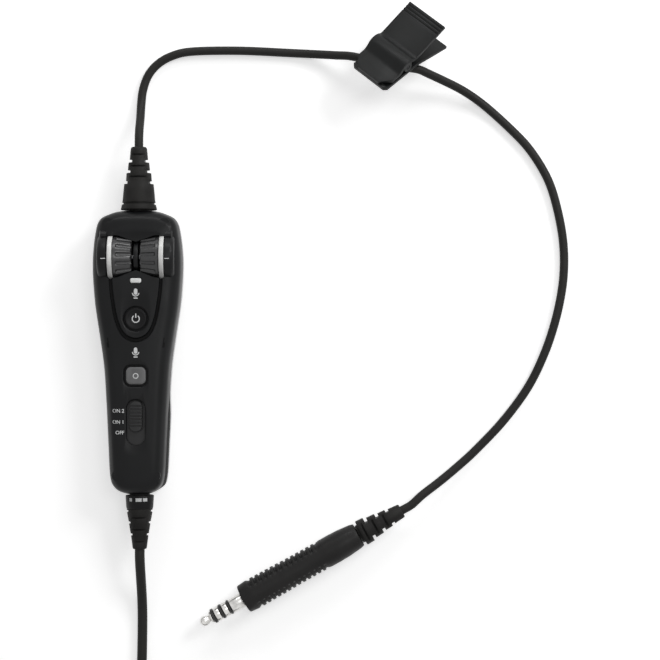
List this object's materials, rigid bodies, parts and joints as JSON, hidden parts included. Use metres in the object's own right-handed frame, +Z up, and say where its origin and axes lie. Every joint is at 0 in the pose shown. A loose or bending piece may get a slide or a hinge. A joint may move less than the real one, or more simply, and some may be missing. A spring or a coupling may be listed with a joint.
{
  "type": "headset control cable",
  "caption": "Aviation headset down cable with an in-line control module, garment clip, single four-contact plug and a coiled headset cord.",
  "frame": {"origin": "under the middle of the control module, on the surface that its back lies on", "axes": "+Z up out of the controls, +Y from the battery end to the volume wheels, +X to the right when the labels are read"},
  "size_m": [0.231, 0.4025, 0.0315],
  "materials": {
    "casing": "satin black moulded plastic",
    "rubber": "matt black moulded rubber",
    "cord_jacket": "dark charcoal cord jacket",
    "white_plastic": "glossy white plastic",
    "grey_key": "mid-grey key top",
    "clip_plastic": "satin black plastic",
    "plug_insulator": "black insulator",
    "contact_metal": "bright nickel plating",
    "pin_metal": "gold-plated brass",
    "steel": "bright steel",
    "board": "green circuit board",
    "cell_can": "dark printed can"
  },
  "bodies": {
    "module": {"battery_cell_left": "cell_can", "battery_cell_right": "cell_can", "bridge_contact": "pin_metal", "case_screw_1": "steel", "case_screw_2": "steel", "case_screw_3": "steel", "case_screw_4": "steel", "cell_contact_left": "pin_metal", "cell_contact_right": "pin_metal", "circuit_board": "board", "clip_cord_holder": "clip_plastic", "coil_tie": "rubber", "connector_housing": "plug_insulator", "connector_insulator": "plug_insulator", "connector_pin_1": "pin_metal", "connector_pin_2": "pin_metal", "connector_pin_3": "pin_metal", "connector_pin_4": "pin_metal", "connector_pin_5": "pin_metal", "connector_pin_6": "pin_metal", "connector_relief": "rubber", "door_hinge_pin": "steel", "front_shell": "casing", "function_switch": "steel", "headset_cord": "cord_jacket", "headset_cord_coil": "cord_jacket", "headset_cord_end": "cord_jacket", "jack_screw_left": "steel", "jack_screw_right": "steel", "plug_cord": "cord_jacket", "plug_handle": "rubber", "plug_insulator": "plug_insulator", "plug_ring_front": "contact_metal", "plug_ring_rear": "contact_metal", "plug_sleeve": "contact_metal", "plug_tail": "rubber", "plug_tip": "contact_metal", "power_switch": "steel", "rear_shell": "casing", "slide_switch": "steel", "status_window": "white_plastic", "strain_relief_lower": "rubber", "strain_relief_upper": "rubber", "volume_pot_left": "steel", "volume_pot_right": "steel", "wheel_divider": "casing"},
    "wheel_left": {"volume_wheel_left": "rubber", "wheel_band_left": "white_plastic", "wheel_shaft_left": "steel"},
    "wheel_right": {"volume_wheel_right": "rubber", "wheel_band_right": "white_plastic", "wheel_shaft_right": "steel"},
    "power_key": {"power_button": "casing"},
    "function_key": {"function_button": "grey_key"},
    "mode_switch": {"mode_slider": "casing"},
    "door": {"battery_door": "casing"},
    "clip_lower": {"clip_lower_jaw": "clip_plastic", "clip_pin": "steel", "clip_spring": "steel"},
    "clip_upper": {"clip_upper_jaw": "clip_plastic"}
  },
  "joints": [
    {"name": "volume_left_turn", "type": "hinge", "parent": "module", "child": "wheel_left", "pos_m": [0, 0.0437, 0.0173], "axis": [1, 0, 0], "range_deg": [-135, 135]},
    {"name": "volume_right_turn", "type": "hinge", "parent": "module", "child": "wheel_right", "pos_m": [0, 0.0437, 0.0173], "axis": [1, 0, 0], "range_deg": [-135, 135]},
    {"name": "power_press", "type": "slide", "parent": "module", "child": "power_key", "axis": [0, 0, -1], "range_m": [0, 0.0007], "stiffness_N_per_m": 1500, "springref_m": -0.0003},
    {"name": "function_press", "type": "slide", "parent": "module", "child": "function_key", "axis": [0, 0, -1], "range_m": [0, 0.0007], "stiffness_N_per_m": 1500, "springref_m": -0.0003},
    {"name": "mode_slide", "type": "slide", "parent": "module", "child": "mode_switch", "axis": [0, -1, 0], "range_m": [0, 0.0056]},
    {"name": "door_swing", "type": "hinge", "parent": "module", "child": "door", "pos_m": [0, -0.0296, 0.0017], "axis": [-1, 0, 0], "range_deg": [0, 90]},
    {"name": "clip_swivel", "type": "hinge", "parent": "module", "child": "clip_lower", "pos_m": [0.1228, 0.1361, 0.0156], "axis": [-0.0753, 0.5135, 0.8548], "range_deg": [-25, 25]},
    {"name": "clip_squeeze", "type": "hinge", "parent": "clip_lower", "child": "clip_upper", "pos_m": [0.12201, 0.14039, 0.02301], "axis": [-0.6888, 0.5931, -0.4169], "range_deg": [0, 22], "stiffness_Nm_per_rad": 0.15, "springref_deg": -5.73, "deforming": ["clip_spring"]}
  ]
}
